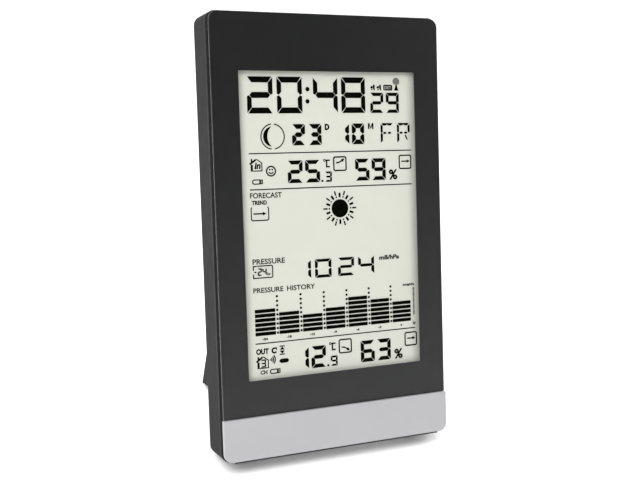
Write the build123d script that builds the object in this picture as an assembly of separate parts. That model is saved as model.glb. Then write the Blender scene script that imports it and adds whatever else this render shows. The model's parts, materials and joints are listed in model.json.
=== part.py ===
"""Home weather station: a flat, upright display case that leans back on a fold-out stand.

The case is drawn upright.  X runs across it from its middle, Y runs back from the front face and
Z runs up from the bottom edge.  At the end every piece is leaned back and set down on the floor.
All lengths are in millimetres and all angles in degrees.
"""
from build123d import *
import math
import os

# Whole case
WIDTH = 110.8
HEIGHT = 193.4
DEPTH = 21.0
CORNER = 4.3
LEAN = 17.0
HALF = WIDTH / 2

# Depth of each layer, measured back from the front face
LENS_BACK = 1.5
MASK_BACK = 1.65
TAPE_BACK = 1.85
FACE_BACK = 3.3
SEAM = 5.5
TONGUE_BACK = 7.5
SHELL_INNER = DEPTH - 1.5

# Front: silver trim, lens and display window
TRIM_BOTTOM = 0.6
TRIM_TOP = 19.1
LENS_BOTTOM = 19.2
EDGE_ROUND = 0.4
BORDER = 0.4
GROOVE = 1.1
WINDOW_WIDTH = 84.6
WINDOW_BOTTOM = 34.9
WINDOW_TOP = 168.3
WINDOW_CORNER = 0.4

# Display glass
GLASS_WIDTH = 92.0
GLASS_BOTTOM = 30.5
GLASS_TOP = 171.5
GLASS = 0.7
FILM = 0.2
CONTACT_LEDGE = 3.0
PANEL_FRONT = FACE_BACK
GLASS_FRONT = PANEL_FRONT + FILM
GLASS_MIDDLE = GLASS_FRONT + GLASS
GLASS_REAR = GLASS_MIDDLE + GLASS
REFLECTOR_BACK = GLASS_REAR + FILM

# Walls and boards
WALL = 1.8
RIB = 1.2
BOARD = 1.2
BOARD_FRONT = 6.9
BOARD_BACK = BOARD_FRONT + BOARD
BOARD_BOTTOM = 27.0
BOARD_TOP = 121.0
KEY_BOARD_FRONT = 12.0
KEY_BOARD_BACK = KEY_BOARD_FRONT + BOARD
KEY_BOARD_BOTTOM = 171.0
KEY_BOARD_TOP = 183.0

# Screws
SHANK = 1.05
HEAD = 2.1
HEAD_HEIGHT = 1.5
SCREW_SEAT = 12.0
POST = 2.75
CASE_SCREWS = [(side * 49.5, height) for side in (-1, 1) for height in (8.0, 126.0, 187.0)]
BOARD_SCREWS = [(side * 49.2, height) for side in (-1, 1) for height in (31.0, 117.0)]
KEY_BOARD_SCREWS = [(side * 9.6, 173.5) for side in (-1, 1)]

# Stand: hinge near the middle of the back, folded flat or open
STAND_HALF = 40.0
STAND_OPEN = 30.0
STAND_WALL = 2.0
FLANGE_DEPTH = 6.0
HINGE_Y = 18.0
HINGE_Z = 124.0
BARREL = 3.0
PIN = 1.5
PIN_FIT = 0.06
PIN_REACH = 3.0
HEEL_TOP = 126.8
STAND_TIP = 0.7
TOE = 11.0
GAP = 0.5
SLOT_FLOOR = DEPTH - FLANGE_DEPTH - 0.6
PANEL_FLOOR = DEPTH - STAND_WALL - GAP
TOE_FLOOR = 10.5
TOE_CEILING = 13.0
HINGE_FLOOR_Z = 118.0
HINGE_TOP_Z = 128.2

# Battery compartment for three AAA cells side by side
CELL_RADIUS = 5.25
CELL_LENGTH = 44.5
NUB_RADIUS = 1.9
NUB = 1.2
CELL_PITCH = 11.1
CELL_Y = 14.2
CELL_Z = 148.6
BAY_HALF = 26.3
BAY_BOTTOM = 131.9
BAY_TOP = 165.3
BAY_FLOOR = 8.8
DOOR_FRONT = 19.6
DOOR_HALF = 28.8
DOOR_BOTTOM = 130.4
DOOR_TOP = 167.3
DOOR_GAP = 0.2
DOOR_SEAT = 19.5
DOOR_PIN = 0.4
DOOR_AXIS_Y = (DOOR_FRONT + DEPTH) / 2
DOOR_AXIS_Z = DOOR_BOTTOM + (DEPTH - DOOR_FRONT) / 2

# Controls
KEY_ROW = 177.0
KEY_RADIUS = 3.0
KEY_GAP = 0.15
KEY_PROUD = 0.6
KEY_X = {"set": 36.0, "plus": 26.0, "minus": 16.0, "alarm": -16.0, "memory": -26.0, "channel": -36.0}
SWITCH_TOP = 16.0
PLUNGER_TOP = 16.8
STEM_TIP = 17.5
RESET_X = -46.0
UNIT_X = 46.0
UNIT_TRAVEL = 2.0
SNOOZE_HALF = 15.0
SNOOZE_FRONT = 8.5
SNOOZE_BACK = 15.5
SNOOZE_SWITCH_TOP = 184.2

# Sound, sensing and radio
BUZZER_RADIUS = 4.5
BUZZER_X = -47.4
BUZZER_Z = 80.0
SENSOR_X = 47.4
SENSOR_Z = 80.0
FERRITE_RADIUS = 4.0
FERRITE_LENGTH = 60.0
FERRITE_Y = 10.8
FERRITE_Z = 21.0

# Feet
FOOT_PROUD = 0.8
FOOT_X = 45.75
FOOT_WIDTH = 6.5
FOOT_FRONT = 15.0
FOOT_BACK = 20.5
PAD_X = 30.0
PAD_WIDTH = 14.0
PAD_DEPTH = 5.0


def block(x0, x1, y0, y1, z0, z1):
    """A box between two opposite corners."""
    centre = Pos((x0 + x1) / 2, (y0 + y1) / 2, (z0 + z1) / 2)
    return centre * Box(x1 - x0, y1 - y0, z1 - z0)


def wide(half, y0, y1, z0, z1):
    """A box centred on the middle plane of the case."""
    return block(-half, half, y0, y1, z0, z1)


def rod_y(x, z, radius, y0, y1):
    """A round rod that runs from front to back."""
    return Pos(x, (y0 + y1) / 2, z) * Rot(90, 0, 0) * Cylinder(radius, y1 - y0)


def rod_x(y, z, radius, x0, x1):
    """A round rod that runs across the case."""
    return Pos((x0 + x1) / 2, y, z) * Rot(0, 90, 0) * Cylinder(radius, x1 - x0)


def rod_z(x, y, radius, z0, z1):
    """A round rod that stands upright."""
    return Pos(x, y, (z0 + z1) / 2) * Cylinder(radius, z1 - z0)


def slab(width, z0, z1, radius, y0, y1):
    """A plate with rounded corners, parallel to the front face."""
    plane = Plane(origin=(0, y0, (z0 + z1) / 2), x_dir=(1, 0, 0), z_dir=(0, -1, 0))
    return extrude(plane * RectangleRounded(width, z1 - z0, radius), amount=y0 - y1)


def outline(inset, y0, y1):
    """The outline of the case, drawn in by an inset."""
    return slab(WIDTH - 2 * inset, inset, HEIGHT - inset, CORNER - inset * 0.8, y0, y1)


def side_profile(points, x0, x1):
    """A polygon of (depth, height) points, run across the case from x0 to x1."""
    plane = Plane(origin=(x0, 0, 0), x_dir=(0, 1, 0), z_dir=(1, 0, 0))
    return extrude(plane * Polygon(*points, align=None), amount=x1 - x0, dir=(1, 0, 0))


def floor_height(y):
    """Height of the floor plane under a point of the upright case."""
    slope = math.radians(LEAN)
    drop = DEPTH * math.sin(slope) + FOOT_PROUD
    return (y * math.sin(slope) - drop) / math.cos(slope)


def front_edges(part):
    """The edges that lie on the frontmost plane."""
    return part.faces().sort_by(Axis.Y)[0].outer_wire().edges()


# ---------------------------------------------------------------- front


def cover_lens():
    """Clear acrylic window over the whole face above the trim."""
    upper = wide(HALF, -1, LENS_BACK + 1, LENS_BOTTOM, HEIGHT + 1)
    lens = outline(BORDER, 0, LENS_BACK) & upper
    return fillet(front_edges(lens), EDGE_ROUND)


def lens_mask():
    """Black printed film on the back of the lens, with the display window left clear."""
    upper = wide(HALF, LENS_BACK - 1, MASK_BACK + 1, LENS_BOTTOM + 0.2, HEIGHT)
    film = outline(BORDER + 0.25, LENS_BACK, MASK_BACK) & upper
    return film - slab(WINDOW_WIDTH, WINDOW_BOTTOM, WINDOW_TOP, WINDOW_CORNER, LENS_BACK - 1, MASK_BACK + 1)


def lens_tape():
    """Die-cut adhesive frame that holds the lens to the front frame."""
    ring = slab(WIDTH - 3.4, LENS_BOTTOM + 1.0, HEIGHT - 1.7, 3.0, MASK_BACK, TAPE_BACK)
    hole = slab(WINDOW_WIDTH + 7, WINDOW_BOTTOM - 3.5, WINDOW_TOP + 3.5, 3.0, MASK_BACK - 1, TAPE_BACK + 1)
    return ring - hole


def trim_pegs(radius, y0, y1):
    """Pegs that heat-stake the trim to the frame."""
    return [rod_y(x, 10.0, radius, y0, y1) for x in (-42.0, -14.0, 14.0, 42.0)]


def silver_trim():
    """Painted strip across the foot of the face."""
    raised = slab(WIDTH - 2 * BORDER, TRIM_BOTTOM, HEIGHT, CORNER - BORDER, 0, TAPE_BACK)
    strip = raised & wide(HALF + 1, -1, TAPE_BACK + 1, 0, TRIM_TOP)
    strip = fillet(front_edges(strip), EDGE_ROUND)
    return strip + trim_pegs(1.0, TAPE_BACK, FACE_BACK + 0.8)


def front_frame():
    """Frame that carries the lens, the trim, the display and the main board."""
    face = slab(WIDTH - 2 * GROOVE, TRIM_BOTTOM / 2, HEIGHT - GROOVE, CORNER - GROOVE, TAPE_BACK, FACE_BACK)
    frame = face + outline(0, FACE_BACK, SEAM) - outline(2.2, FACE_BACK, SEAM + 1)
    frame += outline(WALL + 0.15, SEAM, TONGUE_BACK) - outline(WALL + 1.15, SEAM - 1, TONGUE_BACK + 1)
    frame += outline(WALL, FACE_BACK, SEAM) - outline(WALL + 1.15, FACE_BACK - 1, SEAM + 1)
    frame += wide(HALF - CORNER - GROOVE, EDGE_ROUND, FACE_BACK + 0.2, 0, TRIM_BOTTOM)
    rim = slab(GLASS_WIDTH + 2.6, GLASS_BOTTOM - 1.3, GLASS_TOP + 1.3, 1.2, FACE_BACK, GLASS_REAR)
    frame += rim - slab(GLASS_WIDTH + 0.6, GLASS_BOTTOM - 0.3, GLASS_TOP + 0.3, 0.4, FACE_BACK, GLASS_REAR)
    for x, z in CASE_SCREWS:
        frame += rod_y(x, z, POST, FACE_BACK, SCREW_SEAT - BOARD)
    for x, z in BOARD_SCREWS:
        frame += rod_y(x, z, 2.2, FACE_BACK, BOARD_FRONT)
    frame -= slab(WINDOW_WIDTH + 2, WINDOW_BOTTOM - 1, WINDOW_TOP + 1, 1.0, 0, FACE_BACK + 1)
    for x, z in CASE_SCREWS + BOARD_SCREWS:
        frame -= rod_y(x, z, SHANK, FACE_BACK, SCREW_SEAT)
    for peg in trim_pegs(1.0, 0, FACE_BACK + 1):
        frame -= peg
    return frame


# -------------------------------------------------------------- display


def glass_plate(y0, y1, inset=0.0, bottom=GLASS_BOTTOM):
    """One layer of the display panel."""
    return wide(GLASS_WIDTH / 2 - inset, y0, y1, bottom + inset, GLASS_TOP - inset)


def lcd_holder():
    """Tray that presses the display against the frame and spaces the board behind it."""
    tray = wide(GLASS_WIDTH / 2, REFLECTOR_BACK, BOARD_FRONT - 0.7, GLASS_BOTTOM + 3.8, GLASS_TOP)
    for z in (40.0, 60.0, 80.0, 100.0, 116.0):
        tray += wide(44.0, BOARD_FRONT - 0.7, BOARD_FRONT, z, z + RIB)
    tray -= rod_y(0, 50.0, 6.0, 0, DEPTH)
    tray -= rod_y(0, 90.0, 6.0, 0, DEPTH)
    return tray


def zebra_strip():
    """Rubber strip of fine conductors between the glass ledge and the board."""
    ledge = GLASS_BOTTOM + CONTACT_LEDGE
    return wide(42.0, GLASS_MIDDLE, BOARD_FRONT, GLASS_BOTTOM + 0.4, ledge - 0.4)


# --------------------------------------------------------- main board


def main_board():
    """Main circuit board behind the display."""
    board = wide(51.0, BOARD_FRONT, BOARD_BACK, BOARD_BOTTOM, BOARD_TOP)
    for x, z in BOARD_SCREWS:
        board -= rod_y(x, z, SHANK + 0.1, 0, DEPTH)
    return board


def controller_blob():
    """Epoxy dome over the bonded controller chip."""
    dome = rod_y(-8.0, 85.0, 7.0, BOARD_BACK, BOARD_BACK + 1.8)
    return fillet(dome.faces().sort_by(Axis.Y)[-1].edges(), 1.2)


def quartz_crystals():
    """Clock crystals in their cans, lying on the board."""
    return [rod_z(8.0, BOARD_BACK + 1.0, 1.0, 80.0, 86.0), rod_z(14.0, BOARD_BACK + 1.5, 1.5, 80.0, 88.0)]


def chip_parts():
    """Rows of small resistors and capacitors around the controller."""
    rows = [(x, z) for z in (70.0, 98.0) for x in (-20.0, -16.0, -12.0, -8.0, -4.0, 0.0, 4.0)]
    return [block(x, x + 1.6, BOARD_BACK, BOARD_BACK + 0.6, z, z + 0.8) for x, z in rows]


def pressure_sensor():
    """Barometric sensor in a metal can with a port on top."""
    can = rod_y(24.0, 100.0, 3.2, BOARD_BACK + 0.8, BOARD_BACK + 2.0)
    base = block(20.5, 27.5, BOARD_BACK, BOARD_BACK + 0.8, 96.5, 103.5)
    return base + can - rod_y(24.0, 100.0, 0.5, BOARD_BACK + 1.2, BOARD_BACK + 3.0)


def capacitor():
    """Electrolytic capacitor lying on the board."""
    can = rod_x(BOARD_BACK + 2.5, 60.0, 2.5, -18.0, -10.0)
    return fillet(can.edges(), 0.4)


def sensor_board():
    """Small board that holds the humidity sensor behind the vents."""
    return block(SENSOR_X - 4.2, SENSOR_X + 4.2, 14.0, 15.0, SENSOR_Z - 10, SENSOR_Z + 10)


def humidity_sensor():
    """Humidity and temperature sensor with its sensing window."""
    body = block(SENSOR_X - 1.5, SENSOR_X + 1.5, 15.0, 16.2, SENSOR_Z - 1.5, SENSOR_Z + 1.5)
    return body - rod_y(SENSOR_X, SENSOR_Z, 0.8, 15.8, 17.0)


# --------------------------------------------------------------- radio


def ferrite_rod():
    """Ferrite rod of the radio-clock aerial."""
    rod = rod_x(FERRITE_Y, FERRITE_Z, FERRITE_RADIUS, -FERRITE_LENGTH / 2, FERRITE_LENGTH / 2)
    return chamfer(rod.edges(), 0.4)


def antenna_coil():
    """Winding on the middle of the ferrite rod."""
    winding = rod_x(FERRITE_Y, FERRITE_Z, FERRITE_RADIUS + 0.9, -12.0, 12.0)
    return winding - rod_x(FERRITE_Y, FERRITE_Z, FERRITE_RADIUS, -13.0, 13.0)


def ferrite_clips():
    """Two saddles that hold the ferrite rod against the stand recess."""
    saddle = side_profile([(FERRITE_Y, 16.0), (PANEL_FLOOR - RIB, 16.0),
                           (PANEL_FLOOR - RIB, 26.0), (FERRITE_Y, 26.0)], 0, 5)
    saddle -= rod_x(FERRITE_Y, FERRITE_Z, FERRITE_RADIUS, -1, 6)
    return [Pos(x, 0, 0) * saddle for x in (-26.0, 21.0)]


def receiver_board():
    """Receiver board for the outdoor sensor, beside the batteries."""
    return block(-49.0, -31.0, 12.0, 13.0, 134.0, 163.0)


def receiver_parts():
    """Chip and shielded filter on the receiver board."""
    chip = block(-43.0, -37.0, 13.0, 14.6, 140.0, 146.0)
    shield = block(-45.0, -35.0, 13.0, 15.5, 150.0, 158.0)
    return [chip, shield]


def coil_spring(radius, wire, pitch, height):
    """A helical spring that stands on the origin and rises along Z."""
    path = Helix(pitch=pitch, height=height, radius=radius)
    start = Plane(origin=path @ 0, z_dir=path % 0)
    return sweep(start * Circle(wire), path=path)


def radio_antenna():
    """Coiled wire aerial of the receiver."""
    return Pos(-48.0, 9.0, 136.0) * coil_spring(1.9, 0.4, 2.0, 20.0)


# ------------------------------------------------------------- battery


def cell_direction(index):
    """Cells lie in alternating directions."""
    return 1 if index % 2 == 0 else -1


def cell_height(index):
    """Height of the axis of one cell."""
    return CELL_Z + (index - 1) * CELL_PITCH


def battery_cell(index):
    """One AAA cell with its raised positive end."""
    turn = cell_direction(index)
    z = cell_height(index)
    nub_end = BAY_HALF - 0.4
    can = rod_x(CELL_Y, z, CELL_RADIUS, nub_end - CELL_LENGTH, nub_end - NUB)
    can = fillet(can.edges(), 0.5)
    cell = can + rod_x(CELL_Y, z, NUB_RADIUS, nub_end - NUB - 0.1, nub_end)
    return cell if turn == 1 else Rot(0, 0, 180) * Pos(0, -2 * CELL_Y, 0) * cell


def battery_springs():
    """Negative contact springs."""
    springs = []
    for index in range(3):
        turn = cell_direction(index)
        spring = coil_spring(3.0, 0.35, 1.6, 6.4)
        start = -turn * (BAY_HALF - 0.4 - 0.4)
        springs.append(Pos(start, CELL_Y, cell_height(index)) * Rot(0, turn * 90, 0) * spring)
    return springs


def battery_contacts():
    """Plated contact tabs at both ends of each cell."""
    tabs = []
    for index in range(3):
        z = cell_height(index)
        for side in (-1, 1):
            inner = side * (BAY_HALF - 0.4)
            outer = side * BAY_HALF
            tabs.append(block(min(inner, outer), max(inner, outer), 9.6, 18.4, z - 4.4, z + 4.4))
    return tabs


def battery_door():
    """Battery door: turns on two stub pins at its lower edge, with a thumb latch at the top."""
    plate = wide(DOOR_HALF, DOOR_FRONT, DEPTH, DOOR_BOTTOM, DOOR_TOP)
    lower = [edge for edge in plate.edges().filter_by(Axis.X) if edge.center().Z < DOOR_BOTTOM + 0.1]
    plate = fillet(lower, (DEPTH - DOOR_FRONT) / 2 - 0.01)
    for side in (-1, 1):
        reach = [side * (DOOR_HALF - 1), side * (DOOR_HALF + 0.8)]
        plate += rod_x(DOOR_AXIS_Y, DOOR_AXIS_Z, DOOR_PIN, min(reach), max(reach))
    plate += wide(5.0, DOOR_FRONT, DOOR_FRONT + 0.8, DOOR_TOP - 0.1, DOOR_TOP + 0.8)
    for step in range(5):
        z = 156.0 + 1.6 * step
        plate -= wide(6.0, DEPTH - 0.4, DEPTH + 1, z, z + 0.7)
    return plate


# -------------------------------------------------------------- controls


def key_board():
    """Board that carries the key switches."""
    board = wide(50.0, KEY_BOARD_FRONT, KEY_BOARD_BACK, KEY_BOARD_BOTTOM, KEY_BOARD_TOP)
    for x, z in KEY_BOARD_SCREWS:
        board -= rod_y(x, z, SHANK + 0.1, 0, DEPTH)
    return board


def key_switches():
    """Push switches behind the back keys, behind reset and under the top key."""
    switches = []
    for x in list(KEY_X.values()) + [RESET_X]:
        body = block(x - 3, x + 3, KEY_BOARD_BACK, SWITCH_TOP, KEY_ROW - 3, KEY_ROW + 3)
        switches.append(body + rod_y(x, KEY_ROW, 1.6, SWITCH_TOP, PLUNGER_TOP))
    body = wide(3.0, 8.8, KEY_BOARD_FRONT, KEY_BOARD_TOP - 3.4, KEY_BOARD_TOP + 0.4)
    switches.append(body + wide(1.3, 9.6, 11.4, KEY_BOARD_TOP + 0.4, SNOOZE_SWITCH_TOP))
    return switches


def back_key(x):
    """Round key with a retaining flange and a stem that presses its switch."""
    cap = rod_y(x, KEY_ROW, KEY_RADIUS, SHELL_INNER - 0.1, DEPTH + KEY_PROUD)
    cap = fillet(cap.faces().sort_by(Axis.Y)[-1].edges(), 0.4)
    flange = rod_y(x, KEY_ROW, KEY_RADIUS + 0.9, SHELL_INNER - 0.9, SHELL_INNER - 0.1)
    return cap + flange + rod_y(x, KEY_ROW, 1.5, STEM_TIP, SHELL_INNER - 0.9)


def reset_key():
    """Recessed reset pin, pushed with the tip of a pencil."""
    pin = rod_y(RESET_X, KEY_ROW, 1.0, STEM_TIP, DEPTH - 0.5)
    return pin + rod_y(RESET_X, KEY_ROW, 2.0, SHELL_INNER - 0.9, SHELL_INNER - 0.1)


def unit_switch_body():
    """Slide switch body on the key board."""
    body = block(UNIT_X - 4.3, UNIT_X + 4.3, KEY_BOARD_BACK, 17.0, KEY_ROW - 2.2, KEY_ROW + 2.2)
    slot = block(UNIT_X - 2.7, UNIT_X + 2.7, 16.0, 18.0, KEY_ROW - 1.1, KEY_ROW + 1.1)
    return body - slot


def unit_switch_knob():
    """Sliding knob that chooses the temperature unit."""
    x = UNIT_X - UNIT_TRAVEL / 2
    knob = block(x - 1.2, x + 1.2, SHELL_INNER - 0.5, DEPTH + 0.4, KEY_ROW - 1.3, KEY_ROW + 1.3)
    for groove in (-0.6, 0.2):
        knob -= block(x + groove, x + groove + 0.4, DEPTH + 0.1, DEPTH + 1, KEY_ROW - 2, KEY_ROW + 2)
    return knob + block(x - 1.2, x + 1.2, 16.1, SHELL_INNER - 0.5, KEY_ROW - 0.9, KEY_ROW + 0.9)


def snooze_key():
    """Long key in the top edge, with a flange inside and a stem over its switch."""
    cap = block(-SNOOZE_HALF, SNOOZE_HALF, SNOOZE_FRONT, SNOOZE_BACK, HEIGHT - WALL - 0.1, HEIGHT)
    cap = fillet(cap.faces().sort_by(Axis.Z)[-1].edges(), 0.3)
    inside = HEIGHT - WALL
    flange = wide(SNOOZE_HALF + 1.2, SNOOZE_FRONT - 0.5, SNOOZE_BACK + 0.7, inside - 1, inside - 0.1)
    stem = wide(2.0, 9.5, 11.5, SNOOZE_SWITCH_TOP + 0.7, inside - 1)
    return cap + flange + stem


# --------------------------------------------------------------- screws


def screw(x, z, seat, tip):
    """Pan-head cross-slot screw driven from the back."""
    head = rod_y(x, z, HEAD, seat, seat + HEAD_HEIGHT)
    cross = block(x - 1.3, x + 1.3, seat + 0.8, seat + 2, z - 0.25, z + 0.25)
    cross += block(x - 0.25, x + 0.25, seat + 0.8, seat + 2, z - 1.3, z + 1.3)
    return head - cross + rod_y(x, z, SHANK, tip, seat)


def case_screws():
    """Six screws that close the case from the back."""
    return [screw(x, z, SCREW_SEAT, SCREW_SEAT - 7) for x, z in CASE_SCREWS]


def board_screws():
    """Screws that hold the main board to the front frame."""
    return [screw(x, z, BOARD_BACK, FACE_BACK + 0.5) for x, z in BOARD_SCREWS]


def key_board_screws():
    """Screws that hold the key board to the rear shell, driven from the front."""
    screws = []
    for x, z in KEY_BOARD_SCREWS:
        flipped = screw(0, 0, 0, -5.5)
        screws.append(Pos(x, KEY_BOARD_FRONT, z) * Rot(0, 0, 180) * flipped)
    return screws


# --------------------------------------------------------------- wiring


def key_ribbon():
    """Flat cable from the key board down to the main board."""
    thickness = 0.5
    near = KEY_BOARD_FRONT - thickness
    points = [(KEY_BOARD_FRONT, KEY_BOARD_BOTTOM + 3), (near, KEY_BOARD_BOTTOM + 3), (near, 125.0),
              (BOARD_BACK, 119.5), (BOARD_BACK, 117.0), (BOARD_BACK + thickness, 117.0),
              (BOARD_BACK + thickness, 119.3), (KEY_BOARD_FRONT, 124.8)]
    return side_profile(points, 31.0, 40.0)


def battery_leads():
    """Two insulated wires from the end contacts to the main board."""
    leads = []
    for side in (-1, 1):
        x = side * (BAY_HALF + RIB + 0.6)
        points = [(x, 13.0, 137.5), (side * 29.5, 13.0, 131.0), (side * 29.5, 10.0, 122.5),
                  (side * 29.0, 9.0, 113.0)]
        path = FilletPolyline(*points, radius=2.5)
        start = Plane(origin=path @ 0, z_dir=path % 0)
        leads.append(sweep(start * Circle(0.6), path=path))
    return leads


def buzzer():
    """Piezo buzzer behind the sound holes."""
    can = rod_y(BUZZER_X, BUZZER_Z, BUZZER_RADIUS, SHELL_INNER - 4, SHELL_INNER)
    return can - rod_y(BUZZER_X, BUZZER_Z, 1.0, SHELL_INNER - 1.5, SHELL_INNER + 1)


# ----------------------------------------------------------- rear shell


def stand_recess(grow):
    """Space in the back that the folded stand fills, grown by a wall thickness."""
    half = STAND_HALF + GAP + grow
    deep_wall = STAND_HALF - STAND_WALL - 0.6 - grow
    space = wide(half, PANEL_FLOOR - grow, DEPTH, 0, HINGE_TOP_Z)
    for side in (-1, 1):
        edges = sorted([side * deep_wall, side * half])
        space += block(edges[0], edges[1], SLOT_FLOOR - grow, DEPTH, 0, HINGE_TOP_Z)
    space += wide(half, TOE_FLOOR - grow, DEPTH, 0, TOE_CEILING + grow)
    return space + wide(half, SLOT_FLOOR - grow, DEPTH, HINGE_FLOOR_Z - grow, HINGE_TOP_Z + grow)


def keyhole():
    """Keyhole in the back wall: a screw head enters below and the shank slides up."""
    opening = rod_y(0, 176.0, 4.0, SHELL_INNER - 1, DEPTH + 1)
    opening += wide(2.0, SHELL_INNER - 1, DEPTH + 1, 176.0, 182.0)
    return opening + rod_y(0, 182.0, 2.0, SHELL_INNER - 1, DEPTH + 1)


def control_holes():
    """Openings in the case for keys, reset, unit switch, sound and air."""
    holes = [rod_y(x, KEY_ROW, KEY_RADIUS + KEY_GAP, SHELL_INNER - 1, DEPTH + 1) for x in KEY_X.values()]
    holes.append(rod_y(RESET_X, KEY_ROW, 1.15, SHELL_INNER - 1, DEPTH + 1))
    holes.append(block(UNIT_X - 2.5, UNIT_X + 2.5, SHELL_INNER - 1, DEPTH + 1, KEY_ROW - 1.6, KEY_ROW + 1.6))
    holes.append(rod_y(BUZZER_X, BUZZER_Z, 0.6, SHELL_INNER - 1, DEPTH + 1))
    for turn in range(6):
        angle = math.radians(60 * turn)
        x = BUZZER_X + 2.4 * math.cos(angle)
        z = BUZZER_Z + 2.4 * math.sin(angle)
        holes.append(rod_y(x, z, 0.6, SHELL_INNER - 1, DEPTH + 1))
    for step in range(6):
        z = SENSOR_Z - 10 + 4 * step
        holes.append(block(SENSOR_X - 3.5, SENSOR_X + 3.5, SHELL_INNER - 1, DEPTH + 1, z - 0.8, z + 0.8))
    holes.append(block(-SNOOZE_HALF - KEY_GAP, SNOOZE_HALF + KEY_GAP, SNOOZE_FRONT - KEY_GAP,
                       SNOOZE_BACK + KEY_GAP, HEIGHT - WALL - 1, HEIGHT + 1))
    return holes


def rear_shell():
    """Rear half of the case with the stand recess, battery bay, keyhole and screw bosses."""
    body = outline(0, SEAM, DEPTH)
    body = fillet(body.faces().sort_by(Axis.Y)[-1].edges(), 1.2)
    body = chamfer(body.faces().sort_by(Axis.Y)[0].edges(), 0.2)
    shell = body - outline(WALL, SEAM - 1, SHELL_INNER)
    added = stand_recess(RIB)
    added += wide(BAY_HALF + RIB, BAY_FLOOR - 0.9, DOOR_FRONT, BAY_BOTTOM - RIB, BAY_TOP + RIB)
    added += wide(DOOR_HALF + DOOR_GAP + RIB, DOOR_SEAT - 1.6, DOOR_SEAT, 129.0, DOOR_TOP + 3.8)
    added += wide(7.2, 14.3, SHELL_INNER, 170.5, 187.2)
    for side in (-1, 1):
        cheek = sorted([side * (STAND_HALF + GAP), side * (STAND_HALF + PIN_REACH + 1.4)])
        added += block(cheek[0], cheek[1], SLOT_FLOOR, SHELL_INNER, HINGE_Z - 4, HINGE_Z + 4)
        clip = sorted([side * (SENSOR_X - 4.4), side * (SENSOR_X + 4.4)])
        added += block(clip[0], clip[1], 16.4, SHELL_INNER, SENSOR_Z + 11, SENSOR_Z + 12)
        added += block(clip[0], clip[1], 16.4, SHELL_INNER, SENSOR_Z - 16, SENSOR_Z - 15)
    for x, z in CASE_SCREWS:
        added += rod_y(x, z, HEAD + 1.3, SCREW_SEAT - BOARD, SHELL_INNER)
    for x, z in KEY_BOARD_SCREWS:
        added += rod_y(x, z, 2.2, KEY_BOARD_BACK, SHELL_INNER)
    for z in (SENSOR_Z - 8, SENSOR_Z + 8):
        added += rod_y(SENSOR_X, z, 1.4, 15.0, SHELL_INNER)
    for z in (136.0, 161.0):
        added += rod_y(-33.5, z, 1.6, 13.0, SHELL_INNER)
    shell += added & body
    shell -= stand_recess(0)
    shell += wide(26.0, SLOT_FLOOR, 17.4, 125.0, HINGE_TOP_Z)
    shell -= wide(BAY_HALF, BAY_FLOOR, DEPTH + 1, BAY_BOTTOM, BAY_TOP)
    shell -= wide(DOOR_HALF + DOOR_GAP, DOOR_SEAT, DEPTH + 1, DOOR_BOTTOM - DOOR_GAP, DOOR_TOP + DOOR_GAP)
    shell -= wide(6.0, DOOR_FRONT, DEPTH + 1, DOOR_TOP, DOOR_TOP + 2.4)
    shell -= wide(6.0, 15.3, SHELL_INNER, 171.5, 186.2)
    shell -= keyhole()
    pin_end = STAND_HALF + PIN_REACH + 0.4
    shell -= rod_x(HINGE_Y, HINGE_Z, PIN + PIN_FIT, -pin_end, pin_end)
    shell -= rod_x(DOOR_AXIS_Y, DOOR_AXIS_Z, DOOR_PIN + 0.06, -DOOR_HALF - 1.1, DOOR_HALF + 1.1)
    for x, z in CASE_SCREWS:
        shell -= rod_y(x, z, HEAD + 0.2, SCREW_SEAT, DEPTH + 1)
        shell -= rod_y(x, z, SHANK + 0.2, SCREW_SEAT - 2, DEPTH)
    for x, z in KEY_BOARD_SCREWS:
        shell -= rod_y(x, z, SHANK, KEY_BOARD_BACK - 1, KEY_BOARD_FRONT + 5.5)
    for hole in control_holes():
        shell -= hole
    return shell


# ---------------------------------------------------------------- stand


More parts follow.
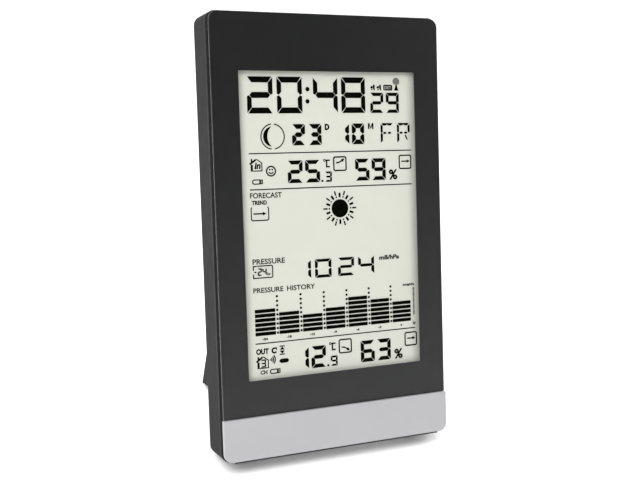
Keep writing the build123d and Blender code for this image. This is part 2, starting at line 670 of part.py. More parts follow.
def stand():
    """Fold-out stand, drawn folded flat: a plate with side flanges, hinge pins and a bent toe."""
    turn = math.radians(STAND_OPEN)
    inward = (-math.cos(turn), math.sin(turn))
    upward = (math.sin(turn), math.cos(turn))
    inner = DEPTH - STAND_WALL
    tip = (DEPTH, STAND_TIP)
    toe_end = (tip[0] + TOE * inward[0], tip[1] + TOE * inward[1])
    toe_top = (toe_end[0] + STAND_WALL * upward[0], toe_end[1] + STAND_WALL * upward[1])
    run = (toe_top[0] - inner) / inward[0]
    corner = (inner, toe_top[1] - run * inward[1])
    part = wide(STAND_HALF, inner, DEPTH, corner[1], HINGE_Z)
    part += side_profile([tip, toe_end, toe_top, corner, (DEPTH, corner[1])], -STAND_HALF, STAND_HALF)
    part += wide(28.0, inner, DEPTH, HINGE_Z - 0.1, HEEL_TOP)
    for side in (-1, 1):
        flange = sorted([side * (STAND_HALF - STAND_WALL), side * STAND_HALF])
        gusset = [toe_top, corner, (inner, 14.0), (DEPTH - FLANGE_DEPTH, 14.0)]
        part += block(flange[0], flange[1], DEPTH - FLANGE_DEPTH, DEPTH, 14.0, HINGE_Z)
        part += side_profile(gusset, flange[0], flange[1])
        barrel = sorted([side * 30.0, side * STAND_HALF])
        part += rod_x(HINGE_Y, HINGE_Z, BARREL, barrel[0], barrel[1])
        stub = sorted([side * 38.0, side * (STAND_HALF + PIN_REACH)])
        part += rod_x(HINGE_Y, HINGE_Z, PIN, stub[0], stub[1])
    for z in (36.0, 62.0, 88.0):
        part += wide(STAND_HALF - STAND_WALL, inner - 0.4, inner, z, z + RIB)
    for step in range(4):
        z = 8.0 + 2.4 * step
        part -= wide(12.0, DEPTH - 0.5, DEPTH + 1, z, z + 1.0)
    rear_edges = [edge for edge in part.edges().filter_by(Axis.Z) if edge.center().Y > DEPTH - 0.01]
    rounded = [edge for edge in rear_edges if abs(edge.center().X) > STAND_HALF - 0.01]
    rounded += [edge for edge in part.edges().filter_by(Axis.X) if edge.center().Z < STAND_TIP + 0.01]
    return fillet(rounded, 0.6)


def opened(part):
    """Turn a piece of the folded stand about its hinge to the open position."""
    return Pos(0, HINGE_Y, HINGE_Z) * Rot(STAND_OPEN, 0, 0) * Pos(0, -HINGE_Y, -HINGE_Z) * part


def open_tip():
    """Depth and height of the lowest rear corner of the open stand."""
    turn = math.radians(STAND_OPEN)
    back = DEPTH - HINGE_Y
    down = STAND_TIP - HINGE_Z
    y = HINGE_Y + back * math.cos(turn) - down * math.sin(turn)
    z = HINGE_Z + back * math.sin(turn) + down * math.cos(turn)
    return y, z


def stand_pads():
    """Rubber pads under the toe of the open stand, ground parallel to the floor."""
    y, z = open_tip()
    rear = y - 0.3
    front = rear - PAD_DEPTH
    shape = [(front, z), (rear, z), (rear, floor_height(rear)), (front, floor_height(front))]
    return [side_profile(shape, x - PAD_WIDTH / 2, x + PAD_WIDTH / 2) for x in (-PAD_X, PAD_X)]


def base_feet():
    """Rubber wedges under the back of the case, ground parallel to the floor."""
    shape = [(FOOT_FRONT, 0), (FOOT_BACK, 0), (FOOT_BACK, floor_height(FOOT_BACK)),
             (FOOT_FRONT, floor_height(FOOT_FRONT))]
    return [side_profile(shape, x - FOOT_WIDTH / 2, x + FOOT_WIDTH / 2) for x in (-FOOT_X, FOOT_X)]


# ------------------------------------------------------------- assembly


def upright_pieces():
    """Every piece by name, in the upright position of the case."""
    pieces = {
        "cover_lens": cover_lens(), "lens_mask": lens_mask(), "lens_tape": lens_tape(),
        "silver_trim": silver_trim(), "front_frame": front_frame(), "rear_shell": rear_shell(),
        "lcd_polarizer": glass_plate(PANEL_FRONT, GLASS_FRONT, inset=1.0),
        "lcd_front_glass": glass_plate(GLASS_FRONT, GLASS_MIDDLE),
        "lcd_rear_glass": glass_plate(GLASS_MIDDLE, GLASS_REAR, bottom=GLASS_BOTTOM + CONTACT_LEDGE),
        "lcd_reflector": glass_plate(GLASS_REAR, REFLECTOR_BACK, 1.0, GLASS_BOTTOM + CONTACT_LEDGE),
        "lcd_holder": lcd_holder(), "zebra_strip": zebra_strip(), "main_board": main_board(),
        "controller_blob": controller_blob(), "quartz_crystals": quartz_crystals(),
        "chip_parts": chip_parts(), "capacitor": capacitor(), "pressure_sensor": pressure_sensor(),
        "sensor_board": sensor_board(), "humidity_sensor": humidity_sensor(),
        "ferrite_rod": ferrite_rod(), "antenna_coil": antenna_coil(), "ferrite_clips": ferrite_clips(),
        "receiver_board": receiver_board(), "receiver_parts": receiver_parts(),
        "radio_antenna": radio_antenna(), "buzzer": buzzer(), "key_board": key_board(),
        "key_switches": key_switches(), "key_board_screws": key_board_screws(),
        "unit_switch_body": unit_switch_body(), "unit_switch_knob": unit_switch_knob(),
        "reset_key": reset_key(), "snooze_key": snooze_key(), "board_screws": board_screws(),
        "case_screws": case_screws(), "key_ribbon": key_ribbon(), "battery_leads": battery_leads(),
        "battery_springs": battery_springs(), "battery_contacts": battery_contacts(),
        "battery_door": battery_door(), "stand": opened(stand()), "stand_pads": stand_pads(),
        "base_feet": base_feet(),
    }
    for name, x in KEY_X.items():
        pieces["key_" + name] = back_key(x)
    for index in range(3):
        pieces[f"battery_cell_{index + 1}"] = battery_cell(index)
    return pieces


def solids_of(piece):
    """The solids of one piece, or of a group of like pieces."""
    parts = piece if isinstance(piece, list) else [piece]
    return [solid for part in parts for solid in part.solids()]


def floor_shift():
    """Move that sets the leaned case on the floor with its footprint centred on the origin."""
    slope = math.radians(LEAN)
    rise = DEPTH * math.sin(slope) + FOOT_PROUD
    tip_y, tip_z = open_tip()
    rear = tip_y * math.cos(slope) + tip_z * math.sin(slope)
    front = TRIM_BOTTOM * math.sin(slope) + EDGE_ROUND * (math.cos(slope) + math.sin(slope) - 1)
    return Pos(0, -(front + rear) / 2, rise)


def build():
    """Write one STEP file for each piece."""
    os.makedirs("parts", exist_ok=True)
    place = floor_shift() * Rot(-LEAN, 0, 0)
    for name, piece in upright_pieces().items():
        placed = [place * solid for solid in solids_of(piece)]
        shape = placed[0] if len(placed) == 1 else Compound(children=placed)
        shape.label = name
        export_step(shape, f"parts/{name}.step")


build()
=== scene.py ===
"""Looks of the home weather station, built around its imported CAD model."""
import json
import math

import bmesh
import bpy
from mathutils import Matrix, Vector


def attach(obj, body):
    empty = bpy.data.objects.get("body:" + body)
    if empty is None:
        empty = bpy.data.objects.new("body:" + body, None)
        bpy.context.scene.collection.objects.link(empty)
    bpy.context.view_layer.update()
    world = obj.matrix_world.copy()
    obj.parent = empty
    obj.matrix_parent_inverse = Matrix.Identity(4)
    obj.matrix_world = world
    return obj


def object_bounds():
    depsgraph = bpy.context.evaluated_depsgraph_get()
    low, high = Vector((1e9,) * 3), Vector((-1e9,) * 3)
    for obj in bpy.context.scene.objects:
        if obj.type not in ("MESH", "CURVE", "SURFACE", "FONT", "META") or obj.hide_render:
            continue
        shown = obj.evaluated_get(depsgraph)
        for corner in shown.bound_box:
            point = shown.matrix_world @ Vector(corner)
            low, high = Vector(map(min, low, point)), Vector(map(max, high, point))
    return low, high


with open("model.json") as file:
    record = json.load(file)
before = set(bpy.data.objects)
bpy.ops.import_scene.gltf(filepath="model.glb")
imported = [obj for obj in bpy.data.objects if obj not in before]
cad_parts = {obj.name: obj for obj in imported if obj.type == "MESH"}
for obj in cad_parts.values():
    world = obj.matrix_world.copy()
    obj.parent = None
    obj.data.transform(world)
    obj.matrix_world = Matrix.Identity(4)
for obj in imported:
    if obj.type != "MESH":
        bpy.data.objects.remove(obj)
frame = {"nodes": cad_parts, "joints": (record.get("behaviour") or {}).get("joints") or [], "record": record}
cad_low, cad_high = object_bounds()

MM = 0.001

# The case as it is drawn upright: X across from its middle, Y back from its face, Z up from its
# bottom edge.  It leans back about X.  These are its CAD sizes, in millimetres.
LEAN = math.radians(17.0)
HINGE = Vector((0.0, 18.0, 124.0))
HEIGHT = 193.4
DEPTH = 21.0
PANEL_FRONT = 3.3
LENS_BACK = 1.5
WINDOW_HALF = 42.3
WINDOW_BOTTOM = 34.9
WINDOW_TOP = 168.3
KEY_ROW = 177.0
RESET_X = -46.0
UNIT_X = 46.0
SNOOZE_MIDDLE = 12.0
KEY_X = {
    "set": 36.0, "plus": 26.0, "minus": 16.0,
    "alarm": -16.0, "memory": -26.0, "channel": -36.0,
}

# The ink of the black border, in the same millimetres: it ends a little inside the lens.
MASK_HALF = 54.75
MASK_BOTTOM = 19.4
MASK_TOP = 192.75
MASK_RADIUS = 3.78
MASK_LOW_RADIUS = 0.1
WINDOW_RADIUS = 0.4

# Front and back of each printed layer, as depths in the case.
DISPLAY_INK = (PANEL_FRONT - 0.05, PANEL_FRONT - 0.01)
LETTER_INK = (PANEL_FRONT - 0.08, PANEL_FRONT - 0.05)
MASK_INK = (LENS_BACK - 0.03, LENS_BACK - 0.01)
BACK_INK = (DEPTH - 0.02, DEPTH + 0.02)


def case_matrix():
    """Places the upright case, in millimetres, in the shared frame, in metres."""
    hinge = next(joint for joint in frame["joints"] if joint["name"] == "stand_fold")
    turn = Matrix.Rotation(-LEAN, 4, "X")
    origin = Vector(hinge["pos_m"]) - turn @ (HINGE * MM)
    return Matrix.Translation(origin) @ turn @ Matrix.Scale(MM, 4)


CASE = case_matrix()
BACKWARD = (CASE.to_3x3() @ Vector((0, 1, 0))).normalized()
UPWARD = (CASE.to_3x3() @ Vector((0, 0, 1))).normalized()


# ------------------------------------------------------------- materials

# The lens: its refraction, the share of its mirror that shows on its outer face and on its milled
# edge, that edge's haze, and the cosines between which a face goes from milled to flat.
ACRYLIC_IOR = 1.49
LENS_COATING = 0.02
EDGE_COATING = 0.2
LENS_EDGE_HAZE = 0.1
MILLED = 0.7
FLAT = 0.99
# Light left on the display at the sides of the window, and how far in the shade reaches.
SIDE_SHADE = 0.76
EDGE_FADE = 3.6 * MM
# Cosines past which a face is square to the case, and past which a point is away from its edges.
SQUARE_ON = 0.9995
INNER_FLAT = 0.985
# Cosines between which an edge goes from fully worn to not worn, how much paler wear is, and its
# patches and those of the roughness, in waves to the metre.
WORN = 0.85
UNWORN = 0.99
WORN_LIFT = 0.02
WEAR_PATCHES = 300.0
ROUGH_PATCHES = 180.0
# Glow of the floor, which keeps it white out to the horizon.
FLOOR_LIFT = 0.12
# Along a cell, from its middle: the two ends of its blue band, and where its bare steel starts.
BAND_START = 8.0 * MM
BAND_END = 19.0 * MM
BARE_START = 21.6 * MM
# Places of the two inputs and the output of a mix node, by what it mixes.
MIX_SOCKETS = {"VECTOR": (4, 5, 1), "RGBA": (6, 7, 2)}


def nodes_of(name):
    """A new material with an empty node tree and its output node."""
    material = bpy.data.materials.new(name)
    material.use_nodes = True
    tree = material.node_tree
    tree.nodes.clear()
    output = tree.nodes.new("ShaderNodeOutputMaterial")
    return material, tree, output


def noise(tree, scale, detail, roughness=0.5):
    """Noise in object coordinates: scale is in waves to the metre."""
    place = tree.nodes.new("ShaderNodeTexCoord")
    node = tree.nodes.new("ShaderNodeTexNoise")
    node.inputs["Scale"].default_value = scale
    node.inputs["Detail"].default_value = detail
    node.inputs["Roughness"].default_value = roughness
    tree.links.new(place.outputs["Object"], node.inputs["Vector"])
    return node.outputs["Fac"]


def plug(tree, value, socket):
    """Feed an input from a socket or with a constant."""
    if isinstance(value, bpy.types.NodeSocket):
        tree.links.new(value, socket)
    else:
        socket.default_value = value


def calculate(tree, operation, first, second=0.0):
    """One step of arithmetic on sockets or numbers."""
    node = tree.nodes.new("ShaderNodeMath")
    node.operation = operation
    for socket, value in zip(node.inputs, (first, second)):
        plug(tree, value, socket)
    return node.outputs["Value"]


def dot_product(tree, first, second):
    """Dot product of two directions, each a socket or three numbers."""
    node = tree.nodes.new("ShaderNodeVectorMath")
    node.operation = "DOT_PRODUCT"
    for socket, value in zip(node.inputs, (first, second)):
        plug(tree, value, socket)
    return node.outputs["Value"]


def along(tree, direction):
    """Distance of a point along a direction, in metres."""
    place = tree.nodes.new("ShaderNodeTexCoord")
    return dot_product(tree, place.outputs["Object"], direction)


def spread(tree, value, low, high, start=0.3, end=0.7):
    """A value from start to end, stretched to run from low to high."""
    node = tree.nodes.new("ShaderNodeMapRange")
    node.inputs["From Min"].default_value = start
    node.inputs["From Max"].default_value = end
    node.inputs["To Min"].default_value = low
    node.inputs["To Max"].default_value = high
    tree.links.new(value, node.inputs["Value"])
    return node.outputs["Result"]


def blend(tree, kind, factor, first, second):
    """Two vectors or two colours mixed by a factor, in sockets or constants."""
    node = tree.nodes.new("ShaderNodeMix")
    node.data_type = kind
    first_in, second_in, out = MIX_SOCKETS[kind]
    tree.links.new(factor, node.inputs[0])
    plug(tree, first, node.inputs[first_in])
    plug(tree, second, node.inputs[second_in])
    return node.outputs[out]


def mixed(tree, factor, first, second):
    """A colour between two colours, each a socket or three numbers."""
    ends = [end if isinstance(end, bpy.types.NodeSocket) else (*end, 1.0) for end in (first, second)]
    return blend(tree, "RGBA", factor, *ends)


def mixed_shader(tree, factor, first, second):
    """A mix of two shaders."""
    node = tree.nodes.new("ShaderNodeMixShader")
    for socket, value in zip(node.inputs, (factor, first, second)):
        tree.links.new(value, socket)
    return node.outputs["Shader"]


def own_normal(tree):
    """The normal of the face itself, with nothing smoothed."""
    return tree.nodes.new("ShaderNodeNewGeometry").outputs["True Normal"]


def facing(tree, direction):
    """How squarely a face looks along a direction, either way: 1 is square on."""
    return calculate(tree, "ABSOLUTE", dot_product(tree, own_normal(tree), direction))


def edge_mask(tree, radius):
    """1 along edges and 0 on flats, and the normal with its edges rounded.

    On faces square to the case the normal is the face's own, away from its edges.
    """
    bevel = tree.nodes.new("ShaderNodeBevel")
    bevel.samples = 4
    bevel.inputs["Radius"].default_value = radius
    rounded = bevel.outputs["Normal"]
    likeness = dot_product(tree, rounded, own_normal(tree))
    square = calculate(tree, "MAXIMUM", facing(tree, (1, 0, 0)), facing(tree, BACKWARD))
    square = calculate(tree, "MAXIMUM", square, facing(tree, UPWARD))
    square = calculate(tree, "GREATER_THAN", square, SQUARE_ON)
    inner = calculate(tree, "GREATER_THAN", likeness, INNER_FLAT)
    flat = calculate(tree, "MULTIPLY", square, inner)
    normal = blend(tree, "VECTOR", flat, rounded, own_normal(tree))
    return spread(tree, likeness, 1.0, 0.0, WORN, UNWORN), normal


def surface(name, colour, rough, grain=0.0, grain_scale=2500.0, tone=0.06, tone_scale=60.0, wear=0.0,
            rough_spread=0.05, round_edges=0.00015, **settings):
    """A moulded, painted or machined surface.

    grain is the height of its fine texture in metres, tone how far its colour varies, rough_spread
    how far its roughness does, and wear how much its edges have lightened.  round_edges is the
    radius of its edges in metres, and 0 for ink, which is thinner than any rounding.
    """
    material, tree, output = nodes_of(name)
    shader = tree.nodes.new("ShaderNodeBsdfPrincipled")
    for key, value in settings.items():
        shader.inputs[key.replace("_", " ").title().replace("Ior", "IOR")].default_value = value
    dark = tuple(channel * (1 - tone) for channel in colour)
    light = tuple(min(1.0, channel * (1 + tone)) for channel in colour)
    shade = mixed(tree, spread(tree, noise(tree, tone_scale, 3.0), 0.0, 1.0), dark, light)
    normal = None
    if round_edges:
        edges, normal = edge_mask(tree, round_edges)
    if wear:
        worn = tuple(min(1.0, channel * (1 + wear) + WORN_LIFT * wear) for channel in colour)
        patches = spread(tree, noise(tree, WEAR_PATCHES, 3.0), 0.2, 1.0)
        shade = mixed(tree, calculate(tree, "MULTIPLY", edges, patches), shade, worn)
    tree.links.new(shade, shader.inputs["Base Color"])
    uneven = noise(tree, ROUGH_PATCHES, 4.0)
    uneven = spread(tree, uneven, rough - rough_spread, rough + rough_spread)
    tree.links.new(uneven, shader.inputs["Roughness"])
    if grain:
        bump = tree.nodes.new("ShaderNodeBump")
        bump.inputs["Strength"].default_value = 1.0
        bump.inputs["Distance"].default_value = grain
        tree.links.new(noise(tree, grain_scale, 2.0), bump.inputs["Height"])
        if normal:
            tree.links.new(normal, bump.inputs["Normal"])
        normal = bump.outputs["Normal"]
    if normal:
        tree.links.new(normal, shader.inputs["Normal"])
    tree.links.new(shader.outputs["BSDF"], output.inputs["Surface"])
    return material


def clear_lens():
    """Clear acrylic: its outer face mirrors faintly, and its milled edge mirrors more and is hazy."""
    material, tree, output = nodes_of("lens_clear")
    see = tree.nodes.new("ShaderNodeBsdfTransparent")
    see.inputs["Color"].default_value = (0.985, 0.985, 0.985, 1.0)
    gloss = tree.nodes.new("ShaderNodeBsdfGlossy")
    gloss.inputs["Color"].default_value = (1.0, 1.0, 1.0, 1.0)
    smudge = spread(tree, noise(tree, 45.0, 5.0, 0.65), 0.02, 0.06, 0.35, 0.75)
    tree.links.new(smudge, gloss.inputs["Roughness"])
    fresnel = tree.nodes.new("ShaderNodeFresnel")
    fresnel.inputs["IOR"].default_value = ACRYLIC_IOR
    for node in (gloss, fresnel):
        tree.links.new(own_normal(tree), node.inputs["Normal"])
    middle = (CASE @ Vector((0, LENS_BACK / 2, 0))).dot(BACKWARD)
    front = calculate(tree, "LESS_THAN", along(tree, BACKWARD), middle)
    tilted = spread(tree, facing(tree, BACKWARD), 1.0, 0.0, MILLED, FLAT)
    milled = calculate(tree, "MULTIPLY", tilted, front)
    sheen = spread(tree, milled, LENS_COATING, EDGE_COATING, 0.0, 1.0)
    mirror = calculate(tree, "MULTIPLY", fresnel.outputs["Fac"], front)
    share = calculate(tree, "MULTIPLY", mirror, sheen)
    face = mixed_shader(tree, share, see.outputs["BSDF"], gloss.outputs["BSDF"])
    haze = tree.nodes.new("ShaderNodeBsdfDiffuse")
    haze.inputs["Color"].default_value = (0.5, 0.5, 0.5, 1.0)
    clouded = calculate(tree, "MULTIPLY", milled, LENS_EDGE_HAZE)
    tree.links.new(mixed_shader(tree, clouded, face, haze.outputs["BSDF"]), output.inputs["Surface"])
    return material


def colour_of(material):
    """Node tree of a surface, its shader and the socket that its colour comes from."""
    tree = material.node_tree
    shader = next(node for node in tree.nodes if node.type == "BSDF_PRINCIPLED")
    return tree, shader, shader.inputs["Base Color"].links[0].from_socket


def shade_at_window(material):
    """Darken the display surface toward the sides of the window, where the case shades it."""
    tree, shader, colour = colour_of(material)
    across = calculate(tree, "ABSOLUTE", along(tree, (1, 0, 0)))
    room = calculate(tree, "SUBTRACT", WINDOW_HALF * MM, across)
    light = spread(tree, room, SIDE_SHADE, 1.0, 0.0, EDGE_FADE)
    tree.links.new(mixed(tree, light, (0.0, 0.0, 0.0), colour), shader.inputs["Base Color"])
    return material


def printed_cell():
    """Jacket of a cell: pale grey with a blue band, and bare steel at both ends."""
    material = surface("cell_jacket", (0.55, 0.56, 0.58), 0.3, 0.000003, 3000.0, coat_weight=0.4)
    tree, shader, colour = colour_of(material)
    x = along(tree, (1, 0, 0))
    band = calculate(tree, "MULTIPLY", calculate(tree, "GREATER_THAN", x, BAND_START),
                     calculate(tree, "LESS_THAN", x, BAND_END))
    banded = mixed(tree, band, colour, (0.02, 0.09, 0.30))
    bare = calculate(tree, "GREATER_THAN", calculate(tree, "ABSOLUTE", x), BARE_START)
    tree.links.new(mixed(tree, bare, banded, (0.62, 0.62, 0.62)), shader.inputs["Base Color"])
    tree.links.new(bare, shader.inputs["Metallic"])
    return material


def finishes():
    """Every material by the name of its slot."""
    shell = surface("shell_plastic", (0.0287, 0.0287, 0.0292), 0.5, 0.00002, 3200.0, wear=0.3,
                    specular_ior_level=0.008)
    front = surface("frame_plastic", (0.022, 0.022, 0.0225), 0.45, 0.00001, 3200.0, wear=0.2,
                    specular_ior_level=0.02)
    mask = surface("mask_black", (0.0022, 0.0022, 0.0023), 0.36, round_edges=0,
                   rough_spread=0.012, coat_weight=0.12, coat_roughness=0.09)
    trim = surface("trim_silver", (0.345, 0.344, 0.356), 0.4, 0.000004, 9000.0, tone=0.02,
                   wear=0.25, metallic=0.3, rough_spread=0.03)
    film = surface("display_film", (0.4655, 0.4735, 0.4195), 0.5, tone=0.012, tone_scale=25.0,
                   specular_ior_level=0.2)
    segment = surface("segment_black", (0.002, 0.0023, 0.0015), 0.5, tone=0.1, round_edges=0,
                      specular_ior_level=0.0)
    floor = surface("floor_white", (0.92, 0.92, 0.92), 0.6, tone=0.004, tone_scale=3.0,
                    emission_color=(1.0, 1.0, 1.0, 1.0), emission_strength=FLOOR_LIFT)
    made = {
        "shell_plastic": shell, "frame_plastic": front, "lens_clear": clear_lens(), "mask_black": mask,
        "trim_silver": trim, "display_film": shade_at_window(film), "segment_black": segment,
        "cell_jacket": printed_cell(), "floor_white": floor,
    }
    for name, colour, rough in (
        ("display_glass", (0.55, 0.6, 0.55), 0.08),
        ("display_reflector", (0.7, 0.71, 0.64), 0.5),
        ("holder_white", (0.72, 0.72, 0.70), 0.55),
        ("zebra_rubber", (0.35, 0.14, 0.16), 0.7),
        ("epoxy_black", (0.008, 0.008, 0.008), 0.18),
        ("chip_ceramic", (0.42, 0.31, 0.21), 0.5),
        ("switch_black", (0.012, 0.012, 0.012), 0.4),
        ("ribbon_grey", (0.45, 0.45, 0.46), 0.5),
        ("wire_red", (0.45, 0.02, 0.015), 0.4),
    ):
        made[name] = surface(name, colour, rough)
    for name, colour, rough, grain, grain_scale in (
        ("tape_black", (0.012, 0.012, 0.012), 0.9, 0.00003, 1500.0),
        ("circuit_green", (0.015, 0.12, 0.045), 0.35, 0.00001, 800.0),
        ("ferrite_grey", (0.05, 0.05, 0.055), 0.5, 0.00003, 2500.0),
        ("foot_rubber", (0.012, 0.012, 0.012), 0.75, 0.00003, 1800.0),
    ):
        made[name] = surface(name, colour, rough, grain, grain_scale)
    for name, colour in (
        ("rule_grey", (0.01, 0.011, 0.009)),
        ("letter_pale", (0.3, 0.3, 0.27)),
        ("veil_grey", (0.13, 0.13, 0.12)),
    ):
        made[name] = surface(name, colour, 0.5, round_edges=0, specular_ior_level=0.1)
    for name, colour, rough, wear in (
        ("part_metal", (0.66, 0.66, 0.66), 0.3, 0.0),
        ("copper_wire", (0.62, 0.25, 0.10), 0.28, 0.0),
        ("steel_screw", (0.22, 0.22, 0.23), 0.36, 0.6),
        ("steel_spring", (0.7, 0.7, 0.7), 0.25, 0.0),
    ):
        made[name] = surface(name, colour, rough, wear=wear, metallic=1.0)
    made["key_plastic"] = surface("key_plastic", (0.055, 0.055, 0.057), 0.42, 0.00001, 3000.0, wear=0.5)
    made["print_pale"] = surface("print_pale", (0.62, 0.62, 0.63), 0.5, 0.000005, 4000.0, round_edges=0)
    return made


FINISH = finishes()


def paint_cad():
    """Give each CAD node the finish of its material slot."""
    for part in frame["record"]["subparts"]:
        node = frame["nodes"][part["node"]]
        material = FINISH[part["material_slot"]]
        if not node.material_slots:
            node.data.materials.append(material)
        for slot in node.material_slots:
            slot.material = material


# ------------------------------------------------------- display drawing


# Gap between the strokes of a large digit, the steps of a round corner, and how far a sharp turn
# of a line may reach: 1 over this, in half widths.
DISPLAY_GAP = 0.1
CORNER_STEPS = 4
SHARPEST_TURN = 0.4
# Corners of a letter closer than this are one corner, in the letter's own units and in metres.
WELD = 1e-5
TOUCHING = 0.002 * MM


def letters_of(text, weld, place=None, **settings):
    """Mesh data of a line of lettering, with its doubled corners made one."""
    curve = bpy.data.curves.new("words", "FONT")
    curve.body = text
    for key, value in settings.items():
        setattr(curve, key, value)
    holder = bpy.data.objects.new("words", curve)
    bpy.context.collection.objects.link(holder)
    mesh = bpy.data.meshes.new_from_object(holder)
    bpy.data.objects.remove(holder)
    if place is not None:
        mesh.transform(place)
    letters = bmesh.new()
    letters.from_mesh(mesh)
    bpy.data.meshes.remove(mesh)
    bmesh.ops.remove_doubles(letters, verts=letters.verts, dist=weld)
    return letters


def add_piece(shape, name, slot, body, finish=None):
    """Turn mesh data into a piece that rides on a body, with its slot's finish or another."""
    mesh = bpy.data.meshes.new(name)
    shape.to_mesh(mesh)
    shape.free()
    thing = bpy.data.objects.new(name, mesh)
    bpy.context.collection.objects.link(thing)
    mesh.materials.append(FINISH[finish or slot])
    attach(thing, body)


class Print:
    """Flat shapes on one plane of the case, gathered into one thin piece.

    Points are (x, z) in millimetres on the upright case.  The shapes lie between two depths.
    """

    def __init__(self, depths):
        self.near, self.far = depths
        self.mesh = bmesh.new()

    def corners(self, points, depth):
        """Vertices at one depth."""
        return [self.mesh.verts.new(CASE @ Vector((x, depth, z))) for x, z in points]

    def shape(self, points):
        """A filled outline."""
        near = self.corners(points, self.near)
        far = self.corners(points, self.far)
        self.mesh.faces.new(near)
        self.mesh.faces.new(far[::-1])
        count = len(points)
        for i in range(count):
            j = (i + 1) % count
            self.mesh.faces.new((near[j], near[i], far[i], far[j]))

    def box(self, x0, x1, z0, z1):
        """A filled rectangle."""
        self.shape([(x0, z0), (x1, z0), (x1, z1), (x0, z1)])

    def ring(self, outer, inner, closed=True):
        """A band between two lines of as many points."""
        loops = [self.corners(line, depth) for depth in (self.near, self.far) for line in (outer, inner)]
        near_out, near_in, far_out, far_in = loops
        count = len(outer)
        for i in range(count if closed else count - 1):
            j = (i + 1) % count
            self.mesh.faces.new((near_out[i], near_out[j], near_in[j], near_in[i]))
            self.mesh.faces.new((far_out[j], far_out[i], far_in[i], far_in[j]))
            self.mesh.faces.new((near_out[j], near_out[i], far_out[i], far_out[j]))
            self.mesh.faces.new((near_in[i], near_in[j], far_in[j], far_in[i]))
        if not closed:
            self.mesh.faces.new((near_out[0], near_in[0], far_in[0], far_out[0]))
            self.mesh.faces.new((near_in[-1], near_out[-1], far_out[-1], far_in[-1]))

    def stroke(self, points, width, closed=False):
        """A line of even width through points, with mitred turns."""
        count = len(points)
        outer, inner = [], []
        for i in range(count):
            here = Vector(points[i])
            before = Vector(points[i - 1]) if closed or i > 0 else None
            after = Vector(points[(i + 1) % count]) if closed or i < count - 1 else None
            ways = [(here - before).normalized()] if before is not None else []
            ways += [(after - here).normalized()] if after is not None else []
            sides = [Vector((-way.y, way.x)) for way in ways]
            side = sides[0] if len(sides) == 1 else (sides[0] + sides[1]).normalized()
            reach = width / 2 / max(SHARPEST_TURN, side.dot(sides[0]))
            outer.append(here + side * reach)
            inner.append(here - side * reach)
        self.ring(outer, inner, closed)

    def disc(self, x, z, radius, steps=28):
        """A filled circle."""
        self.shape(arc(x, z, radius, 0, 360 - 360 / steps, steps - 1))

    def outline(self, x0, x1, z0, z1, radius, width):
        """The outline of a rectangle with round corners."""
        self.stroke(round_box(x0, x1, z0, z1, radius), width, closed=True)

    def words(self, text, x0, x1, z0, z1, weight, slant=0.0):
        """Lettering that fills a rectangle."""
        letters = letters_of(text, WELD, size=10.0, offset=weight, shear=slant, resolution_u=3)
        low_x = min(v.co.x for v in letters.verts)
        high_x = max(v.co.x for v in letters.verts)
        low_z = min(v.co.y for v in letters.verts)
        high_z = max(v.co.y for v in letters.verts)
        for face in letters.faces:
            spots = []
            for v in face.verts:
                across = (v.co.x - low_x) / (high_x - low_x)
                up = (v.co.y - low_z) / (high_z - low_z)
                spots.append((x0 + across * (x1 - x0), z0 + up * (z1 - z0)))
            self.shape(spots)
        letters.free()

    def piece(self, name, slot, body="case", finish=None):
        """Finish the piece, with its faces looking outward."""
        bmesh.ops.recalc_face_normals(self.mesh, faces=self.mesh.faces)
        add_piece(self.mesh, name, slot, body, finish)


def shifted(x, z, *points):
    """Points moved by x and z."""
    return [(x + a, z + b) for a, b in points]


def arc(x, z, radius, start, end, steps):
    """Points along an arc, in degrees from the +X side."""
    angles = [math.radians(start + (end - start) * i / steps) for i in range(steps + 1)]
    return [(x + radius * math.cos(a), z + radius * math.sin(a)) for a in angles]


def round_box(x0, x1, z0, z1, radius, low_radius=None):
    """Outline of a rectangle with round corners; the lower two may have their own radius."""
    low = radius if low_radius is None else low_radius
    points = arc(x1 - radius, z1 - radius, radius, 0, 90, CORNER_STEPS)
    points += arc(x0 + radius, z1 - radius, radius, 90, 180, CORNER_STEPS)
    points += arc(x0 + low, z0 + low, low, 180, 270, CORNER_STEPS)
    points += arc(x1 - low, z0 + low, low, 270, 360, CORNER_STEPS)
    return points


# The strokes of each seven-segment sign, lettered clockwise from the top, with g in the middle.
SEGMENTS = {
    "0": "abcdef", "1": "bc", "2": "abdeg", "3": "abcdg", "4": "bcfg", "5": "acdfg",
    "6": "acdefg", "8": "abcdefg", "9": "abcdfg", "-": "g",
}


def digit(ink, sign, x, z, width, height, upright, level, gap):
    """One seven-segment sign: upright and level are the widths of its two kinds of stroke."""
    middle = height / 2
    clip = min(upright, level) * 0.1
    half = level / 2
    left = upright + gap
    right = width - upright - gap
    top = [(gap + clip, height), (width - gap - clip, height),
           (right, height - level), (left, height - level)]
    side = [(0, height - gap - clip), (0, middle + gap + half * 0.35),
            (upright * 0.45, middle + gap * 0.9), (upright, middle + half + gap),
            (upright, height - level - gap)]
    bar = [(upright * 0.5 + gap, middle), (left, middle + half), (right, middle + half),
           (width - upright * 0.5 - gap, middle), (right, middle - half), (left, middle - half)]
    flip_x = [(width - a, b) for a, b in side]
    shapes = {
        "a": top, "g": bar, "f": side, "b": flip_x,
        "d": [(a, height - b) for a, b in top],
        "e": [(a, height - b) for a, b in side],
        "c": [(a, height - b) for a, b in flip_x],
    }
    for letter in SEGMENTS[sign]:
        ink.shape(shifted(x, z, *shapes[letter]))


def number(ink, signs, places, z, *sizes, gap=DISPLAY_GAP):
    """Seven-segment signs of one size, each at its own x."""
    for sign, x in zip(signs, places):
        digit(ink, sign, x, z, *sizes, gap)


